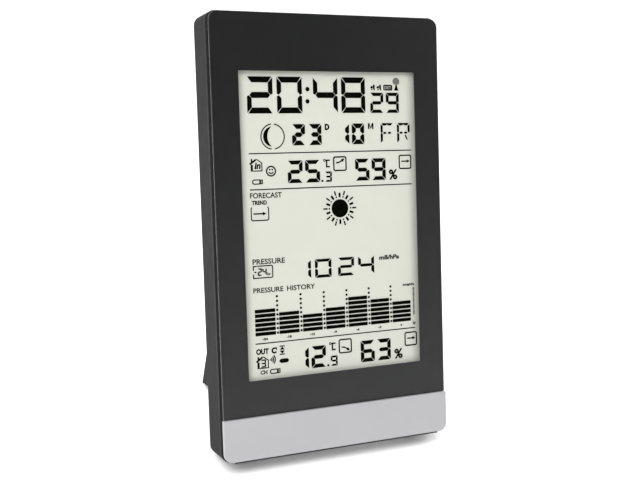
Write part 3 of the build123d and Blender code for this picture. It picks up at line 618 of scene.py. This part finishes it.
def degrees_c(ink, x, z):
    """A small degree ring and a C, with its lower left corner at x, z."""
    left, right, low, high = x + 1.5, x + 3.1, z + 0.2, z + 3.05
    ink.stroke(arc(x + 0.5, high, 0.45, 0, 330, 11), 0.36, closed=True)
    ink.stroke([(right, high), (left, high), (left, low), (right, low)], 0.66)


def percent(ink, x, z):
    """A per cent sign 4.4 mm wide and 4.7 mm high."""
    ink.words("%", x, x + 4.4, z, z + 4.7, weight=0.34)


def arrow(ink, points, head, width):
    """A line with a pointed head at its last point."""
    ink.stroke(points, width)
    tip = Vector(points[-1])
    way = (tip - Vector(points[-2])).normalized()
    side = Vector((-way.y, way.x))
    base = tip - way * head * 0.45
    ink.shape([base + side * head * 0.46, base - side * head * 0.46, tip + way * head * 0.55])


def trend_box(ink, x, z, rise):
    """Rounded box with an arrow that rises, stays level or falls, for a rise of 1, 0 or -1."""
    ink.outline(x, x + 6.0, z, z + 6.0, 0.7, 0.64)
    start, end = x + 1.1, x + 4.6
    height = z + {1: 3.4, 0: 3.3, -1: 2.6}[rise]
    steps = [step / 5 for step in range(6)]
    bend = [(start + (end - start) * step, height + rise * 0.35 * step ** 2 * 4) for step in steps]
    arrow(ink, bend, 1.7, 0.62)


def house(ink, x, z):
    """House with a heavy left roof, chimney and wall, 5.6 mm wide."""
    ink.stroke(shifted(x, z, (-0.1, 3.05), (2.75, 5.05)), 0.85)
    ink.shape(shifted(x, z, (0.45, 3.7), (0.45, 5.35), (1.15, 5.35), (1.15, 3.9)))
    ink.shape(shifted(x, z, (0.3, 0), (0.3, 2.75), (0.55, 2.9), (1.3, 2.9), (1.3, 0)))
    ink.stroke(shifted(x, z, (2.95, 5.25), (5.4, 3.5), (5.4, 0.15), (1.4, 0.15)), 0.46)


def battery_sign(ink, x, z):
    """Battery sign, nearly empty, 4.7 mm wide."""
    shell = shifted(x, z, (3.4, 0.15), (0.7, 0.15), (0.2, 0.55), (0.2, 1.5), (0.7, 1.9), (3.4, 1.9))
    ink.stroke(shell, 0.48)
    ink.box(x + 3.2, x + 4.0, z, z + 2.05)
    ink.stroke(shifted(x, z, (4.0, 0.2), (4.65, 0.2), (4.65, 1.85), (4.0, 1.85)), 0.4)
    ink.stroke(shifted(x, z, (4.3, 0.3), (4.3, 1.75)), 0.14)


def reading(ink, x, z, large, tenths=None):
    """Two large digits and, after a point, one small digit."""
    number(ink, large, (x, x + 8.3), z, 7.1, 9.85, 1.75, 1.75, gap=0.08)
    if tenths:
        ink.box(x + 15.95, x + 16.95, z + 0.05, z + 0.95)
        digit(ink, tenths, x + 17.7, z, 3.4, 4.6, 0.9, 0.85, gap=0.06)


def bell(ink, x, z):
    """Small tilted bell, 2.2 mm wide, with its clapper below the mouth."""
    ink.shape(shifted(x, z, (0.65, 0.8), (-0.15, 1.2), (0.45, 1.9), (1.2, 2.05), (1.25, 1.1)))
    ink.shape(shifted(x, z, (1.35, 0.9), (1.35, 2.45), (1.75, 2.65),
                      (2.25, 2.4), (2.25, 0.1), (1.85, 0)))
    ink.disc(x + 0.75, z + 0.4, 0.36, 10)


def capital_m(ink, x0, x1, z0, z1):
    """A bold M."""
    middle = (x0 + x1) / 2
    bar = 0.7
    ink.shape([(x0, z0), (x0, z1), (x0 + bar, z1), (x0 + bar, z0)])
    ink.shape([(x1 - bar, z0), (x1 - bar, z1), (x1, z1), (x1, z0)])
    ink.shape([(x0 + bar, z1), (middle, z0 + 0.9), (middle, z0), (x0 + bar, z1 - 1.2)])
    ink.shape([(x1 - bar, z1), (x1 - bar, z1 - 1.2), (middle, z0), (middle, z0 + 0.9)])


def capital_d(ink, x0, x1, z0, z1):
    """A bold D."""
    bar = 0.72
    radius = (z1 - z0) / 2 - bar / 2
    middle = (z0 + z1) / 2
    bow = arc(x1 - radius - bar / 2, middle, radius, -90, 90, 10)
    back = x0 + bar / 2
    ink.stroke([(back, middle - radius)] + bow + [(back, middle + radius)], bar, closed=True)


def time_row(ink):
    """Hours, minutes and seconds with their small signs."""
    number(ink, "2048", (-38.1, -24.4, -7.3, 6.3), 150.25, 11.8, 15.8, 2.1, 2.55)
    ink.disc(-9.95, 160.75, 0.98)
    ink.disc(-10.1, 155.4, 0.98)
    number(ink, "29", (20.6, 28.55), 150.2, 6.65, 9.1, 1.45, 1.5, gap=0.07)
    bell(ink, 20.8, 160.3)
    bell(ink, 24.0, 160.3)
    ink.shape(round_box(27.4, 31.95, 160.3, 162.85, 0.45))
    ink.shape([(32.75, 160.3), (35.25, 160.3), (34.6, 161.5),
               (34.25, 163.4), (33.75, 163.4), (33.4, 161.5)])


def moon(ink, x, z):
    """Thin waning moon in a ring that is open at its top and bottom."""
    ink.stroke(arc(x, z, 5.4, 96, 263, 30), 0.52)
    ink.stroke(arc(x, z, 5.4, -81, 82, 30), 0.52)
    outer = arc(x, z, 4.4, 99, 261, 26)
    inner = arc(x + 3.3, z, 5.75, 132, 228, 26)
    ink.ring(outer, inner, closed=False)


def fourteen(ink, sign, x, z):
    """A slim letter of split strokes, 6.6 mm wide and 8.9 mm high."""
    thin = 1.12
    wide = 6.6
    high = 8.9
    under = high - thin
    left = [(0, high - 0.5), (0, 4.7), (0.5, 4.5), (thin, 4.9), (thin, high - thin - 0.15)]
    leg = [(0, 4.2), (0, 0.0), (thin, 1.0), (thin, 4.0), (0.5, 4.4)]
    top = [(0.5, high), (6.1, high), (5.4, under), (3.9, under),
           (3.3, high - 0.6), (2.7, under), (1.1, under)]
    shapes = [left, leg, top]
    shapes.append([(1.1, 4.45), (1.7, 4.95), (2.5, 4.95), (3.1, 4.45), (2.5, 3.95), (1.7, 3.95)])
    shapes.append([(3.5, 4.45), (4.1, 4.95), (4.9, 4.95), (5.5, 4.45), (4.9, 3.95), (4.1, 3.95)])
    if sign == "R":
        shapes.append([(wide - a, b) for a, b in left])
        shapes.append([(4.0, 3.6), (4.6, 3.4), (5.4, 1.6), (5.3, 1.0), (4.6, 1.7), (4.0, 3.0)])
    for shape in shapes:
        ink.shape(shifted(x, z, *shape))


def date_row(ink):
    """Moon phase, day, month and weekday."""
    moon(ink, -26.95, 140.3)
    number(ink, "2310", (-17.9, -10.05, 3.5, 11.0), 136.3, 6.2, 9.25, 2.05, 2.1, gap=0.08)
    capital_d(ink, -2.2, 0.05, 142.75, 145.55)
    capital_m(ink, 19.15, 21.9, 143.0, 145.65)
    fourteen(ink, "F", 25.5, 136.7)
    fourteen(ink, "R", 33.9, 136.7)


def indoor_row(ink):
    """Indoor temperature and humidity with their trends and the comfort face."""
    house(ink, -37.8, 125.5)
    ink.words("in", -35.85, -32.95, 126.45, 129.3, weight=0.42, slant=0.2)
    ink.stroke(arc(-28.25, 125.4, 2.05, 0, 350, 35), 0.64, closed=True)
    ink.stroke(arc(-28.25, 125.5, 1.1, 200, 340, 10), 0.5)
    for x in (-28.85, -27.65):
        ink.disc(x, 126.1, 0.4, 12)
    battery_sign(ink, -37.0, 119.9)
    reading(ink, -20.5, 119.9, "25", "3")
    degrees_c(ink, -3.3, 126.4)
    trend_box(ink, 1.7, 124.8, 1)
    reading(ink, 12.2, 119.9, "59")
    percent(ink, 29.15, 119.85)
    trend_box(ink, 34.7, 124.8, 0)


RAYS = 20


def sun(ink, x, z):
    """Sun with short bold rays and long split rays between them."""
    ink.disc(x, z, 4.1, 48)
    centre = Vector((x, z))
    for step in range(RAYS):
        angle = math.radians(360 / RAYS * step)
        way = Vector((math.sin(angle), math.cos(angle)))
        if step % 2 == 0:
            ink.stroke([centre + way * 4.95, centre + way * 7.0], 1.0)
        else:
            ink.stroke([centre + way * 4.9, centre + way * 5.6], 0.72)
            ink.stroke([centre + way * 6.05, centre + way * 8.1], 0.72)


def forecast_row(ink):
    """Forecast and its trend."""
    ink.words("FORECAST", -38.3, -23.6, 113.85, 116.2, weight=0.2)
    ink.words("TREND", -37.6, -30.6, 111.05, 112.9, weight=0.42)
    ink.stroke([(-37.6, 110.1), (-38.0, 109.4), (-38.0, 104.8), (-37.5, 104.3), (-30.5, 104.3),
                (-30.0, 104.8), (-30.0, 109.4), (-30.4, 110.1)], 0.5)
    arrow(ink, [(-37.0, 107.2), (-31.9, 107.2)], 1.7, 0.62)
    sun(ink, 4.1, 107.88)


def pressure_row(ink):
    """Air pressure and how long ago it was read."""
    ink.words("PRESSURE", -38.2, -23.1, 85.2, 87.6, weight=0.2)
    ink.stroke([(-36.4, 84.45), (-37.95, 84.45), (-37.95, 82.6)], 0.5)
    ink.stroke([(-37.95, 81.0), (-37.95, 79.3), (-29.4, 79.3), (-29.05, 79.65), (-29.05, 84.15),
                (-29.4, 84.5), (-36.2, 84.5)], 0.5)
    digit(ink, "-", -37.9, 80.3, 1.7, 3.2, 0.5, 0.65, gap=0.0)
    number(ink, "24", (-36.0, -33.8), 80.25, 2.0, 3.3, 0.65, 0.62, gap=0.02)
    ink.words("hr", -31.6, -29.9, 80.25, 81.6, weight=0.35)
    number(ink, "1024", (-18.9, -8.95, 2.3, 12.4), 77.4, 8.05, 8.35, 1.45, 1.3)
    ink.words("mB/hPa", 23.05, 33.4, 83.4, 85.5, weight=0.42, slant=0.1)


# The chart's bars, the columns of dots between them and the scale at its right end.
HISTORY = (6, 5, 4, 5, 7, 6, 5)
HOURS = ("-24", "-18", "-12", "-9", "-6", "-3", "0")
CHART_LEFT = -38.3
CHART_LOW = 53.95
COLUMN = 11.22
ROW = 2.006
BAR_START = 0.3
BAR_END = 9.85
BAR_HEIGHT = 1.58
HOUR_PACE = 0.82
HOUR_MIDDLE = 4.75
DOTS_LEFT = -27.5
DOTS_LOW = 54.7
DOT_COLUMN = 11.21
DOT_COUNT = 9
DOT_RADIUS = 0.56
TICK_TOP = 69.0
TICK_PACE = 0.92
TICK_COUNT = 14


def history_chart(ink):
    """Bars of the pressure of the last day, with dotted lines between them and a scale."""
    ink.words("PRESSURE", -38.3, -24.3, 72.75, 75.0, weight=0.2)
    ink.words("HISTORY", -22.6, -9.2, 72.75, 75.0, weight=0.2)
    for index, (count, hours) in enumerate(zip(HISTORY, HOURS)):
        left = CHART_LEFT + COLUMN * index
        for row in range(count):
            low = CHART_LOW + ROW * row
            ink.box(left + BAR_START, left + BAR_END, low, low + BAR_HEIGHT)
        wide = HOUR_PACE * len(hours)
        middle = left + HOUR_MIDDLE
        ink.words(hours, middle - wide / 2, middle + wide / 2, 51.85, 52.95, weight=0.55)
    for index in range(len(HISTORY) - 1):
        for row in range(DOT_COUNT):
            ink.disc(DOTS_LEFT + DOT_COLUMN * index, DOTS_LOW + ROW * row, DOT_RADIUS, 14)
    ink.words("hr", 39.9, 41.5, 52.1, 53.6, weight=0.45)
    ink.words("inHg/hPa", 35.0, 41.0, 70.2, 71.6, weight=0.5)
    for row in range(TICK_COUNT):
        height = TICK_TOP - TICK_PACE * row
        ink.stroke([(40.1, height), (40.95, height)], 0.5 if row % 3 else 0.72)


def outdoor_row(ink):
    """Outdoor temperature and humidity, with the channel and its sensor's signs."""
    ink.words("OUT", -38.0, -32.1, 45.7, 48.3, weight=0.55)
    ink.stroke(arc(-29.5, 46.95, 1.0, 55, 330, 16), 0.75)
    ink.shape([(-29.3, 48.3), (-28.2, 48.2), (-28.3, 46.9)])
    for flip in (1, -1):
        base, tip, rule = (46.75 + flip * away for away in (0.2, 1.55, 1.8))
        ink.shape([(-27.0, base), (-24.6, base), (-25.8, tip)])
        ink.stroke([(-27.05, rule), (-24.55, rule)], 0.5)
    house(ink, -37.9, 39.5)
    digit(ink, "3", -36.1, 40.0, 2.5, 3.5, 0.62, 0.6, gap=0.02)
    for ring, radius in enumerate((0.3, 1.1, 1.9, 2.7)):
        ink.stroke(arc(-31.9, 43.0, radius, -42, 42, 8), 0.5 + 0.02 * ring)
    ink.shape([(-27.5, 42.0), (-26.6, 42.95), (-23.5, 42.95),
               (-22.6, 42.0), (-23.5, 41.05), (-26.6, 41.05)])
    ink.words("CH", -36.3, -33.1, 36.9, 38.7, weight=0.4)
    battery_sign(ink, -31.8, 36.75)
    reading(ink, -20.3, 37.05, "12", "9")
    degrees_c(ink, -3.1, 44.2)
    trend_box(ink, 1.8, 42.5, -1)
    reading(ink, 12.5, 37.05, "63")
    percent(ink, 29.7, 36.85)
    trend_box(ink, 35.55, 42.5, 0)


def display():
    """Everything that the display shows, in one thin layer on its front film."""
    rows = {"time": time_row, "date": date_row, "indoor": indoor_row, "forecast": forecast_row,
            "pressure": pressure_row, "history": history_chart, "outdoor": outdoor_row}
    for name, draw in rows.items():
        ink = Print(DISPLAY_INK)
        draw(ink)
        ink.piece("display_" + name, "segment_black")
    rules = Print(DISPLAY_INK)
    for height in (133.13, 117.6, 50.55):
        rules.stroke([(-38.15, height), (40.95, height)], 0.5)
    rules.piece("display_rules", "segment_black", finish="rule_grey")
    signal = Print(DISPLAY_INK)
    signal.shape(arc(33.95, 164.35, 1.75, -58, 238, 30) + [(34.0, 163.5)])
    signal.piece("display_signal", "segment_black", finish="veil_grey")
    letters = Print(LETTER_INK)
    letters.words("DST", 27.95, 31.4, 160.85, 162.3, weight=0.2)
    letters.piece("display_summer_time", "display_film", finish="letter_pale")


def mask_print():
    """Ink of the black border, sunk a hair into the lens.

    The film behind it and the lens touch face to face, and light would slip between the two.
    """
    ink = Print(MASK_INK)
    outer = round_box(-MASK_HALF, MASK_HALF, MASK_BOTTOM, MASK_TOP, MASK_RADIUS, MASK_LOW_RADIUS)
    inner = round_box(-WINDOW_HALF, WINDOW_HALF, WINDOW_BOTTOM, WINDOW_TOP, WINDOW_RADIUS)
    ink.ring(outer, inner)
    ink.piece("mask_print", "mask_black")


# ------------------------------------------------------------------ back


def back_words(ink, text, x, z, height=1.6, pace=1.5):
    """Lettering on the back, centred on a place and readable from behind."""
    half = pace * height * len(text) / 4
    ink.words(text, x + half, x - half, z, z + height, weight=0.1)


def plus_sign(ink, x, z, size, width):
    """A plus sign as two crossing bars that meet without overlap."""
    ink.stroke([(x - size, z), (x + size, z)], width)
    for side in (-1, 1):
        ink.stroke([(x, z + side * width / 2), (x, z + side * size)], width)


def back_print():
    """Small plain signs printed beside the keys and on the battery door."""
    ink = Print(BACK_INK)
    row = KEY_ROW + 4.5
    plus_sign(ink, KEY_X["plus"], row + 0.8, 0.85, 0.4)
    ink.stroke([(KEY_X["minus"] - 0.85, row + 0.8), (KEY_X["minus"] + 0.85, row + 0.8)], 0.4)
    for name, text in (("set", "SET"), ("alarm", "ALARM"), ("memory", "MEM"), ("channel", "CH")):
        back_words(ink, text, KEY_X[name], row)
    back_words(ink, "RESET", RESET_X, KEY_ROW + 3.0, 1.3)
    back_words(ink, "C / F", UNIT_X - 1, KEY_ROW + 3.0, 1.3)
    ink.piece("key_print", "print_pale")
    door = Print(BACK_INK)
    door.shape([(-1.6, 164.0), (1.6, 164.0), (0, 165.8)])
    back_words(door, "OPEN", 0, 152.4, 1.8)
    back_words(door, "3 x AAA 1.5 V", 0, 133.2, 2.0, 1.15)
    door.piece("door_print", "print_pale", body="battery_door")


def top_print():
    """Plain word on the long key in the top edge."""
    place = CASE @ Matrix.Translation((0, SNOOZE_MIDDLE, HEIGHT + 0.01))
    letters = letters_of("SNOOZE / LIGHT", TOUCHING, place, size=2.6, offset=0.02, extrude=0.015,
                         align_x="CENTER", align_y="CENTER")
    add_piece(letters, "snooze_print", "print_pale", "snooze_key")


# ------------------------------------------------------- stage and light


FLOOR_SIZE = 30.0
FLOOR_CELLS = 8
# Place in metres, size in metres and power in watts.
LAMPS = {
    "key": ((-0.7, -0.6, 1.1), 0.9, 17.0),
    "fill": ((1.2, -0.1, 0.9), 0.9, 7.0),
    "top": ((0.0, 0.4, 1.4), 1.0, 9.0),
}
# Middle of the card and its size in metres, and its two brightnesses with their heights.
CARD_PLACE = (0.5, -1.6, 0.9)
CARD_SIZE = 1.8
CARD_LOW = 0.05
CARD_HIGH = 0.75
CARD_WHITE = 1.0
CARD_DARK = 0.06


def graded_card():
    """Card that only reflections see: white at the floor and dark above."""
    material, tree, output = nodes_of("card")
    glow = tree.nodes.new("ShaderNodeEmission")
    strength = spread(tree, along(tree, (0, 0, 1)), CARD_WHITE, CARD_DARK, CARD_LOW, CARD_HIGH)
    tree.links.new(strength, glow.inputs["Strength"])
    tree.links.new(glow.outputs["Emission"], output.inputs["Surface"])
    mesh = bpy.data.meshes.new("card")
    x, y, middle = CARD_PLACE
    half = CARD_SIZE / 2
    corners = [(x - half, y, middle - half), (x + half, y, middle - half),
               (x + half, y, middle + half), (x - half, y, middle + half)]
    mesh.from_pydata(corners, [], [(0, 1, 2, 3)])
    mesh.materials.append(material)
    card = bpy.data.objects.new("card", mesh)
    card.visible_camera = False
    bpy.context.collection.objects.link(card)


def studio():
    """White floor and surroundings, a graded card in front and soft light from above and both sides."""
    bpy.ops.mesh.primitive_grid_add(
        x_subdivisions=FLOOR_CELLS, y_subdivisions=FLOOR_CELLS, size=FLOOR_SIZE)
    floor = bpy.context.object
    floor.name = "floor"
    floor.data.materials.append(FINISH["floor_white"])
    graded_card()
    world = bpy.data.worlds.new("studio")
    bpy.context.scene.world = world
    world.use_nodes = True
    background = world.node_tree.nodes["Background"]
    background.inputs["Color"].default_value = (1.0, 1.0, 1.0, 1.0)
    background.inputs["Strength"].default_value = 1.0
    aim = (cad_low + cad_high) / 2
    for name, (place, size, power) in LAMPS.items():
        data = bpy.data.lights.new(name, "AREA")
        data.size = size
        data.energy = power
        lamp = bpy.data.objects.new(name, data)
        lamp.location = place
        lamp.rotation_euler = (aim - Vector(place)).to_track_quat("-Z", "Y").to_euler()
        bpy.context.collection.objects.link(lamp)


# Place in metres; turn from straight ahead, tilt and roll; lens and sensor in millimetres.
CAMERA_PLACE = (-0.17658, -0.37751, 0.24141)
CAMERA_AZIMUTH = math.radians(24.975)
CAMERA_PITCH = math.radians(-19.796)
CAMERA_ROLL = math.radians(5.382)
CAMERA_LENS = 54.28
SENSOR_WIDTH = 36.0
NEAREST = 0.01


def camera():
    """Camera in front, to the left and above, as a hand-held one would be."""
    data = bpy.data.cameras.new("camera")
    data.lens = CAMERA_LENS
    data.sensor_width = SENSOR_WIDTH
    data.clip_start = NEAREST
    eye = bpy.data.objects.new("camera", data)
    turn = Matrix.Rotation(-CAMERA_AZIMUTH, 4, "Z") @ Matrix.Rotation(math.pi / 2 + CAMERA_PITCH, 4, "X")
    eye.matrix_world = Matrix.Translation(CAMERA_PLACE) @ turn @ Matrix.Rotation(CAMERA_ROLL, 4, "Z")
    bpy.context.collection.objects.link(eye)
    bpy.context.scene.camera = eye


bpy.context.scene.view_settings.view_transform = "Standard"
paint_cad()
display()
mask_print()
back_print()
top_print()
studio()
camera()
